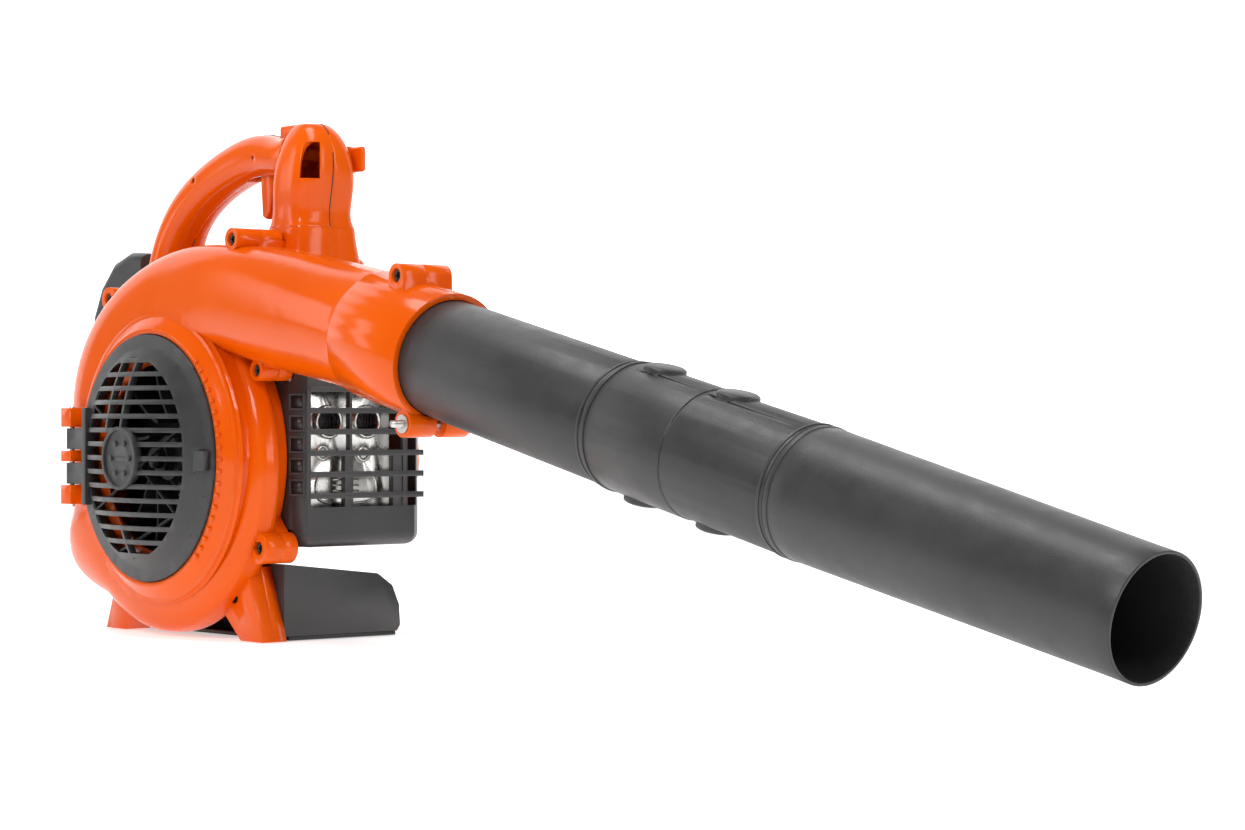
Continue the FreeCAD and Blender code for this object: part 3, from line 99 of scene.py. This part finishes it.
def surface(name, dark, light, rough, metal=0.0, grain=2500.0, relief=0.15, depth=0.0001,
            coat=0.0, patch=18.0, sheen=0.0, stretch=None, edge=0.0, specular=0.5):
    """Plastic, rubber or metal with uneven colour and gloss, fine grain and worn edges."""
    material, tree, shader = new_material(name)
    place = tree.nodes.new("ShaderNodeTexCoord").outputs["Object"]
    if stretch:
        mapping = tree.nodes.new("ShaderNodeMapping")
        socket(mapping, "Scale", stretch)
        tree.links.new(place, mapping.inputs["Vector"])
        grain_place = mapping.outputs["Vector"]
    else:
        grain_place = place
    broad = noise(tree, place, patch)
    mixed = tree.nodes.new("ShaderNodeMix")
    mixed.data_type = "RGBA"
    mixed.inputs["A"].default_value = (*dark, 1)
    mixed.inputs["B"].default_value = (*light, 1)
    tree.links.new(remap(tree, broad.outputs["Fac"], 0, 1), mixed.inputs["Factor"])
    colour = mixed.outputs["Result"]
    if edge > 0:
        geometry = tree.nodes.new("ShaderNodeNewGeometry")
        ramp = tree.nodes.new("ShaderNodeMapRange")
        socket(ramp, "From Min", 0.53)
        socket(ramp, "From Max", 0.62)
        socket(ramp, "To Max", edge)
        tree.links.new(geometry.outputs["Pointiness"], ramp.inputs["Value"])
        worn = tree.nodes.new("ShaderNodeMix")
        worn.data_type = "RGBA"
        worn.inputs["B"].default_value = (*[min(1, 1.8 * c + 0.02) for c in light], 1)
        tree.links.new(colour, worn.inputs["A"])
        tree.links.new(ramp.outputs["Result"], worn.inputs["Factor"])
        colour = worn.outputs["Result"]
    tree.links.new(colour, shader.inputs["Base Color"])
    fine = noise(tree, grain_place, grain, 2.0)
    wide = noise(tree, place, patch * 4, 4.0)
    tree.links.new(remap(tree, wide.outputs["Fac"], rough[0], rough[1]), shader.inputs["Roughness"])
    bump = tree.nodes.new("ShaderNodeBump")
    socket(bump, "Strength", relief)
    socket(bump, "Distance", depth)
    tree.links.new(fine.outputs["Fac"], bump.inputs["Height"])
    tree.links.new(bump.outputs["Normal"], shader.inputs["Normal"])
    socket(shader, "Metallic", metal)
    socket(shader, "Coat Weight", coat)
    socket(shader, "Coat Roughness", 0.12)
    socket(shader, "Sheen Weight", sheen)
    socket(shader, "Specular IOR Level", specular)
    return material


MATERIALS = {
    "orange_plastic": surface("orange_plastic", (0.70, 0.086, 0.0), (0.78, 0.104, 0.0002), (0.15, 0.21),
                              coat=0.20, grain=700, relief=0.03, depth=0.00005, patch=7, specular=0.15),
    "charcoal_plastic": surface("charcoal_plastic", (0.024, 0.024, 0.025), (0.033, 0.033, 0.034),
                                (0.34, 0.44), grain=1800, relief=0.30, depth=0.00012, edge=0.35),
    "tube_plastic": surface("tube_plastic", (0.024, 0.024, 0.025), (0.033, 0.033, 0.034), (0.38, 0.48),
                            grain=1300, relief=0.55, depth=0.00020),
    "black_plastic": surface("black_plastic", (0.011, 0.011, 0.012), (0.020, 0.020, 0.021), (0.34, 0.46),
                             grain=2000, relief=0.20),
    "rubber": surface("rubber", (0.018, 0.018, 0.018), (0.030, 0.030, 0.030), (0.62, 0.78), grain=3000,
                      relief=0.3, sheen=0.2),
    "bright_steel": surface("bright_steel", (0.62, 0.61, 0.58), (0.78, 0.77, 0.74), (0.20, 0.34), metal=1.0,
                            grain=350, relief=0.12, depth=0.00008, stretch=(1, 6, 1)),
    "cast_aluminium": surface("cast_aluminium", (0.44, 0.44, 0.45), (0.58, 0.58, 0.59), (0.42, 0.58),
                              metal=1.0, grain=1100, relief=0.5, depth=0.00025),
    "black_screws": surface("black_screws", (0.018, 0.018, 0.019), (0.034, 0.034, 0.036), (0.26, 0.40),
                            metal=0.6, grain=1400, relief=0.2, edge=0.6),
    "tank_plastic": surface("tank_plastic", (0.56, 0.54, 0.47), (0.66, 0.64, 0.57), (0.34, 0.46), grain=900,
                            relief=0.15),
    "filter_foam": surface("filter_foam", (0.20, 0.14, 0.05), (0.34, 0.25, 0.10), (0.85, 0.95), grain=700,
                           relief=1.0, depth=0.0008),
    "rope_nylon": surface("rope_nylon", (0.36, 0.36, 0.34), (0.55, 0.55, 0.52), (0.7, 0.85), grain=900,
                          relief=0.9, depth=0.0004, stretch=(1, 1, 0.25)),
    "zinc": surface("zinc", (0.55, 0.55, 0.53), (0.72, 0.72, 0.70), (0.22, 0.36), metal=1.0, grain=800,
                    relief=0.15),
}


def paint(obj, name):
    obj.data.materials.clear()
    obj.data.materials.append(MATERIALS[name])


def soften(obj, width, segments=2, angle=32):
    """Rounded edges without changing the mesh itself."""
    weld = obj.modifiers.new("weld", "WELD")
    weld.merge_threshold = 0.00002
    bevel = obj.modifiers.new("soft_edges", "BEVEL")
    bevel.width = width
    bevel.segments = segments
    bevel.limit_method = "ANGLE"
    bevel.angle_limit = math.radians(angle)
    bevel.harden_normals = True
    bevel.use_clamp_overlap = True


slot_of = {entry["node"]: entry["material_slot"] for entry in frame["record"]["subparts"]}
SPECIAL = {"upper_tube": "tube_plastic", "middle_tube": "tube_plastic", "nozzle_tube": "tube_plastic",
           "clamp_bolt": "zinc", "clamp_nut": "zinc", "shaft_nuts": "black_screws",
           "crankshaft": "black_screws"}
for name, obj in nodes.items():
    paint(obj, SPECIAL.get(name, slot_of[name]))
    for polygon in obj.data.polygons:
        polygon.use_smooth = True
    soften(obj, 0.0006)


# ---------------------------------------------------------------- stage
def area_light(name, place, target, size, power, colour=(1, 1, 1)):
    data = bpy.data.lights.new(name, "AREA")
    data.shape = "RECTANGLE"
    data.size = size[0]
    data.size_y = size[1]
    data.energy = power
    data.color = colour
    light = bpy.data.objects.new(name, data)
    bpy.context.scene.collection.objects.link(light)
    light.location = place
    light.rotation_euler = (Vector(target) - Vector(place)).to_track_quat("-Z", "Y").to_euler()
    return light


def white_sheet(name, corners, glow):
    """Pale studio surface that glows a little, so that it reads as white paper."""
    material, tree, shader = new_material(name)
    place = tree.nodes.new("ShaderNodeTexCoord").outputs["Object"]
    cloud = noise(tree, place, 3)
    tree.links.new(remap(tree, cloud.outputs["Fac"], 0.55, 0.62), shader.inputs["Roughness"])
    socket(shader, "Base Color", (0.9, 0.9, 0.9, 1))
    socket(shader, "Specular IOR Level", 0.1)
    socket(shader, "Emission Color", (1, 1, 1, 1))
    socket(shader, "Emission Strength", glow)
    mesh = bpy.data.meshes.new(name)
    mesh.from_pydata(corners, [], [list(range(len(corners)))])
    sheet = bpy.data.objects.new(name, mesh)
    bpy.context.scene.collection.objects.link(sheet)
    sheet.data.materials.append(material)


def make_stage():
    reach, level = 24, -0.0006
    white_sheet("studio_floor", [(-reach, -reach, level), (reach, -reach, level), (reach, reach, level),
                                 (-reach, reach, level)], 0.5)
    white_sheet("studio_back", [(-22.5, -7.2, -0.2), (7.5, 22.5, -0.2), (7.5, 22.5, 15), (-22.5, -7.2, 15)],
                1.05)
    world = bpy.data.worlds.new("studio")
    bpy.context.scene.world = world
    world.use_nodes = True
    background = world.node_tree.nodes["Background"]
    socket(background, "Color", (1, 1, 1, 1))
    socket(background, "Strength", 0.20)
    area_light("key", (0.9, -2.0, 1.7), (0.1, 0, 0.18), (0.9, 0.7), 26)
    area_light("top", (0.2, -0.3, 2.2), (0.3, 0, 0.1), (1.6, 0.7), 26)
    area_light("side", (2.4, 0.9, 1.0), (0.2, 0, 0.12), (0.5, 1.4), 12)
    area_light("left", (-1.7, -1.5, 0.9), (0, 0, 0.15), (0.5, 1.2), 5)


make_stage()
camera_data = bpy.data.cameras.new("camera")
camera_data.lens = 87.23
camera_data.sensor_width = 36
camera_data.clip_start = 0.05
camera = bpy.data.objects.new("camera", camera_data)
bpy.context.scene.collection.objects.link(camera)
camera.location = (1.8586, -1.241, 0.1588)
camera.rotation_euler = Vector((-0.7572, 0.6532, 0)).to_track_quat("-Z", "Y").to_euler()
bpy.context.scene.camera = camera
bpy.context.scene.view_settings.view_transform = "Standard"


# ---------------------------------------------------------------- building helpers
def finish_mesh(name, build, material, body, bevel=0.0):
    """Turns a bmesh into a painted piece that rides on a body."""
    mesh = bpy.data.meshes.new(name)
    bmesh.ops.recalc_face_normals(build, faces=build.faces)
    build.to_mesh(mesh)
    build.free()
    for polygon in mesh.polygons:
        polygon.use_smooth = True
    obj = bpy.data.objects.new(name, mesh)
    bpy.context.scene.collection.objects.link(obj)
    paint(obj, material)
    if bevel:
        soften(obj, bevel)
    if body:
        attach(obj, body)
    return obj


def add_box(build, low, high, turn=None):
    """Box between two corners, in metres."""
    low, high = Vector(low), Vector(high)
    made = bmesh.ops.create_cube(build, size=1)["verts"]
    middle = (low + high) / 2
    for vertex in made:
        vertex.co = Vector([a * b for a, b in zip(vertex.co, high - low)])
        if turn:
            vertex.co = turn @ vertex.co
        vertex.co += middle
    return made


def add_rod(build, radius, start, end, segments=24, end_radius=None):
    """Cylinder or cone between two points."""
    start, end = Vector(start), Vector(end)
    way = end - start
    spin = way.to_track_quat("Z", "Y").to_matrix().to_4x4()
    made = bmesh.ops.create_cone(build, cap_ends=True, segments=segments, radius1=radius,
                                 radius2=radius if end_radius is None else end_radius, depth=way.length,
                                 matrix=Matrix.Translation((start + end) / 2) @ spin)
    return made["verts"]


def add_sweep(build, path, radius, segments=12, closed=False):
    """Round bar along a list of points; radius is a number or a function of the share travelled."""
    points = [Vector(p) for p in path]
    count = len(points)
    rings = []
    normal = None
    for index, point in enumerate(points):
        if closed:
            way = points[(index + 1) % count] - points[index - 1]
        else:
            way = points[min(index + 1, count - 1)] - points[max(index - 1, 0)]
        way.normalize()
        if normal is None:
            normal = way.orthogonal().normalized()
        normal = (normal - way * normal.dot(way)).normalized()
        side = way.cross(normal)
        size = radius(index / max(1, count - 1)) if callable(radius) else radius
        rings.append([build.verts.new(point + (normal * math.cos(2 * math.pi * k / segments)
                                               + side * math.sin(2 * math.pi * k / segments)) * size)
                      for k in range(segments)])
    spans = count if closed else count - 1
    for index in range(spans):
        first, second = rings[index], rings[(index + 1) % count]
        for k in range(segments):
            following = (k + 1) % segments
            build.faces.new((first[k], first[following], second[following], second[k]))
    if not closed:
        build.faces.new(rings[0])
        build.faces.new(list(reversed(rings[-1])))


def add_lathe(build, profile, origin, axis, segments=64):
    """Surface of revolution from (radius, distance along the axis)."""
    origin, axis = Vector(origin), Vector(axis).normalized()
    normal = axis.orthogonal().normalized()
    side = axis.cross(normal)
    rings = []
    for radius, distance in profile:
        rings.append([build.verts.new(origin + axis * distance
                                      + (normal * math.cos(2 * math.pi * k / segments)
                                         + side * math.sin(2 * math.pi * k / segments)) * radius)
                      for k in range(segments)])
    for first, second in zip(rings, rings[1:] + rings[:1]):
        for k in range(segments):
            following = (k + 1) % segments
            build.faces.new((first[k], first[following], second[following], second[k]))


# ---------------------------------------------------------------- starter rope
def make_rope():
    """Braided rope that stretches between the pulley and the grip."""
    low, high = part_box("starter_rope")
    x, y = (low.x + high.x) / 2, (low.y + high.y) / 2
    build = bmesh.new()
    steps = 60
    path = [(x, y, low.z + (high.z - low.z) * k / steps) for k in range(steps + 1)]
    add_sweep(build, path, lambda share: 0.0015 + 0.00012 * math.sin(share * 150), 10)
    rope = finish_mesh("rope", build, "rope_nylon", None)
    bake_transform(rope)
    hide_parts("starter_rope")


make_rope()


# ---------------------------------------------------------------- clamp bolt
def make_clamp_bolt():
    """Bolt with rolled thread and a washer under its nut."""
    low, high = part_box("clamp_bolt")
    x, z = (low.x + high.x) / 2, (low.z + high.z) / 2
    build = bmesh.new()
    add_rod(build, 0.00225, (x, low.y + 0.0008, z), (x, high.y - 0.0005, z), 24)
    pitch = 0.0008
    turns = int((high.y - low.y - 0.004) / pitch)
    helix = []
    for k in range(turns * 14):
        turn = 2 * math.pi * k / 14
        helix.append((x + 0.00222 * math.cos(turn), low.y + 0.002 + pitch * k / 14,
                      z + 0.00222 * math.sin(turn)))
    add_sweep(build, helix, 0.00028, 5)
    bolt = finish_mesh("threaded_clamp_bolt", build, "zinc", "housing")
    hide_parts("clamp_bolt")
    build = bmesh.new()
    add_lathe(build, [(0.0027, 0), (0.0062, 0), (0.0062, 0.0009), (0.0027, 0.0009)], (x, -0.0703, z),
              (0, -1, 0), 40)
    finish_mesh("clamp_washer", build, "zinc", "housing", 0.0002)


make_clamp_bolt()


# ---------------------------------------------------------------- serrated collar
def make_collar_teeth():
    """Short grip teeth on the housing collar, on the side of the outlet."""
    build = bmesh.new()
    radius = 0.0932
    for k in range(-9, 10):
        angle = math.radians(k * 5.2)
        x, z = radius * math.cos(angle), FAN_AXIS_Z + radius * math.sin(angle)
        spin = Matrix.Rotation(-angle, 3, "Y")
        add_box(build, (x - 0.0016, -0.0884, z - 0.0013), (x + 0.0016, -0.0858, z + 0.0013), spin)
    finish_mesh("collar_teeth", build, "orange_plastic", "housing", 0.0004)


make_collar_teeth()


# ---------------------------------------------------------------- tube details
def tube_point(distance, angle, radius):
    side = Vector((0, 1, 0))
    return (TUBE_START + TUBE_WAY * distance + TUBE_UP * math.cos(angle) * radius
            + side * math.sin(angle) * radius)


def make_tube_rings():
    """Raised rims where the tubes meet."""
    for name, body, distance, radius, width in (
            ("upper_rim", "housing", 0.1835, 0.0394, 0.0022),
            ("middle_rim", "tube_middle", 0.1892, 0.0402, 0.0030),
            ("middle_end_rim", "tube_middle", 0.3452, 0.0394, 0.0022),
            ("nozzle_rim", "tube_nozzle", 0.3518, 0.0394, 0.0030)):
        build = bmesh.new()
        add_lathe(build, [(radius - 0.0014, -width / 2), (radius + 0.0004, -width / 2), (radius + 0.0007, 0),
                          (radius + 0.0004, width / 2), (radius - 0.0014, width / 2)],
                  TUBE_START + TUBE_WAY * distance, TUBE_WAY, 96)
        finish_mesh(name, build, "tube_plastic", body, 0.0002)


make_tube_rings()


# ---------------------------------------------------------------- muffler
def make_muffler_details():
    """Stamped recess, welded port rims, screw heads and a spark screen on the bright cover."""
    face_x = 0.106
    build = bmesh.new()
    for y, z in ((-0.006, 0.154), (0.027, 0.154)):
        add_lathe(build, [(0.0094, 0), (0.0116, 0), (0.0122, 0.0012), (0.0108, 0.0022), (0.0094, 0.0016)],
                  (face_x + 0.0025, y, z), (1, 0, 0), 48)
    for y, z in ((-0.009, 0.132), (0.026, 0.131)):
        add_lathe(build, [(0.0034, 0), (0.0058, 0), (0.0058, 0.0013), (0.0034, 0.0013)], (face_x, y, z),
                  (1, 0, 0), 40)
    outline = []
    for k in range(40):
        turn = 2 * math.pi * k / 40
        across = math.copysign(abs(math.cos(turn)) ** 0.6, math.cos(turn))
        up = math.copysign(abs(math.sin(turn)) ** 0.6, math.sin(turn))
        outline.append((face_x + 0.0002, 0.011 + 0.026 * across, 0.107 + 0.011 * up))
    add_sweep(build, outline, 0.0011, 8, closed=True)
    for k in range(4):
        z = 0.101 + 0.004 * k
        add_sweep(build, [(face_x + 0.0002, 0.0, z), (face_x + 0.0002, 0.022, z)], 0.0007, 8)
    finish_mesh("muffler_stampings", build, "bright_steel", "housing", 0.0)
    build = bmesh.new()
    for y, z in ((-0.009, 0.132), (0.026, 0.131)):
        add_rod(build, 0.0036, (face_x - 0.004, y, z), (face_x + 0.0006, y, z), 6)
    finish_mesh("muffler_screw_heads", build, "zinc", "housing", 0.0003)
    build = bmesh.new()
    for y, z in ((-0.006, 0.154), (0.027, 0.154)):
        for k in range(-3, 4):
            shift = 0.0026 * k
            reach = math.sqrt(max(0, 0.0094 ** 2 - shift ** 2))
            level_x, upright_x = face_x - 0.003, face_x - 0.0026
            add_sweep(build, [(level_x, y - reach, z + shift), (level_x, y + reach, z + shift)], 0.00035, 6)
            add_sweep(build, [(upright_x, y + shift, z - reach), (upright_x, y + shift, z + reach)],
                      0.00035, 6)
        add_rod(build, 0.0092, (face_x - 0.0085, y, z), (face_x - 0.0045, y, z), 32)
    finish_mesh("spark_screens", build, "black_screws", "housing", 0.0)


make_muffler_details()


# ---------------------------------------------------------------- screws
SCREW_MOUTHS = (
    # x, z, y of the boss face, head radius
    (0.079, 0.282, -0.068, 0.0044), (0.270, 0.250, -0.066, 0.0044), (0.101, 0.190, -0.062, 0.0044),
    (-0.095, 0.245, -0.062, 0.0044), (0.104, 0.066, -0.062, 0.0044), (-0.117, 0.065, -0.062, 0.0044),
    (0.068, 0.030, -0.058, 0.0040), (-0.068, 0.030, -0.058, 0.0040),
)


def make_socket_screws():
    """Black cap screws with hex sockets, sunk a little into the bosses."""
    build = bmesh.new()
    for x, z, y, radius in SCREW_MOUTHS:
        front = y + 0.0016
        profile = [(0.0027, 0), (radius - 0.0006, 0), (radius, 0.0006), (radius, 0.0036), (0.0027, 0.0036)]
        add_lathe(build, profile, (x, front, z), (0, 1, 0), 48)
        add_rod(build, 0.0028, (x, front + 0.0016, z), (x, front + 0.0034, z), 6)
        for k in range(6):
            angle = math.radians(60 * k + 30)
            wall_x, wall_z = x + 0.0026 * math.cos(angle), z + 0.0026 * math.sin(angle)
            spin = Matrix.Rotation(-angle, 3, "Y")
            add_box(build, (wall_x - 0.0004, front + 0.0001, wall_z - 0.0014),
                    (wall_x + 0.0004, front + 0.0020, wall_z + 0.0014), spin)
    finish_mesh("cap_screws", build, "black_screws", "housing", 0.0)


make_socket_screws()


# ---------------------------------------------------------------- muffler guard louvres
def make_louvres():
    """Louvre frames on the chamfered corner of the muffler guard, with a black slab of painted shade sunk in
    each recess.
    """
    along = Vector((15, 6.2, 0)).normalized()
    spin = Matrix.Rotation(math.atan2(6.2, 15), 3, "Z")
    middle = Vector((0.104, -0.0372, 0)) + along * 0.0078
    shade_slab_half = Vector((0.0052, 0.0003, 0.0044))
    rail_half = Vector((0.0066, 0.0009, 0.0008))
    stile_half = Vector((0.0008, 0.0009, 0.0052))
    inner = bmesh.new()
    frame_build = bmesh.new()
    for low in (0.104, 0.119, 0.134, 0.149, 0.164):
        centre = middle + Vector((0, 0, low + 0.004))
        # black slab in each louvre recess: painted shade that stands in for the shadow inside the slot
        add_box(inner, centre - shade_slab_half, centre + shade_slab_half, spin)
        for rise in (-0.0052, 0.0052):
            edge = centre + Vector((0, 0, rise))
            add_box(frame_build, edge - rail_half, edge + rail_half, spin)
        for side in (-1, 1):
            edge = centre + along * 0.0058 * side
            add_box(frame_build, edge - stile_half, edge + stile_half, spin)
    # painted shade: the black slabs stand in for the shadow in the louvre recesses
    finish_mesh("louvre_painted_shade", inner, "black_plastic", "housing", 0.0)
    finish_mesh("louvre_frames", frame_build, "charcoal_plastic", "housing", 0.0003)


make_louvres()


# ---------------------------------------------------------------- handle seams
def make_handle_seams():
    """Dark joint lines where the two moulded halves of the handle meet."""
    mesh = nodes["handle_left_half"].data
    hull = BVHTree.FromPolygons([v.co for v in mesh.vertices], [tuple(p.vertices) for p in mesh.polygons])
    seam_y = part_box("handle_left_half")[1].y - 0.0003
    scans = [
        # first start, last start, direction, steps
        ((0.3, 0.258), (0.3, 0.345), (-1, 0), 60),
        ((-0.115, 0.5), (0.100, 0.5), (0, -1), 120),
        ((-0.4, 0.256), (-0.4, 0.320), (1, 0), 50),
    ]
    build = bmesh.new()
    for first, last, way, steps in scans:
        path = []
        for k in range(steps + 1):
            share = k / steps
            start = Vector((first[0] + (last[0] - first[0]) * share, seam_y,
                            first[1] + (last[1] - first[1]) * share))
            direction = Vector((way[0], 0, way[1]))
            hit = hull.ray_cast(start, direction)[0]
            if hit is None or (path and (hit - path[-1]).length > 0.009):
                if len(path) > 3:
                    add_sweep(build, path, SEAM_RADIUS, 8)
                path = []
            if hit is not None:
                path.append(hit)
        if len(path) > 3:
            add_sweep(build, path, SEAM_RADIUS, 8)
    finish_mesh("handle_seams", build, "black_plastic", "housing", 0.0)


make_handle_seams()


# ---------------------------------------------------------------- impeller
def make_impeller_details():
    """Hub cap ribs on the fan."""
    build = bmesh.new()
    for k in range(12):
        angle = 2 * math.pi * (k + 0.5) / 12
        inner, outer = 0.018, 0.028
        front_end = (inner * math.cos(angle), -0.064, FAN_AXIS_Z + inner * math.sin(angle))
        back_end = (outer * math.cos(angle), -0.0485, FAN_AXIS_Z + outer * math.sin(angle))
        add_sweep(build, [front_end, back_end], 0.0011, 8)
    finish_mesh("impeller_ribs", build, "black_plastic", "rotor", 0.0)


make_impeller_details()
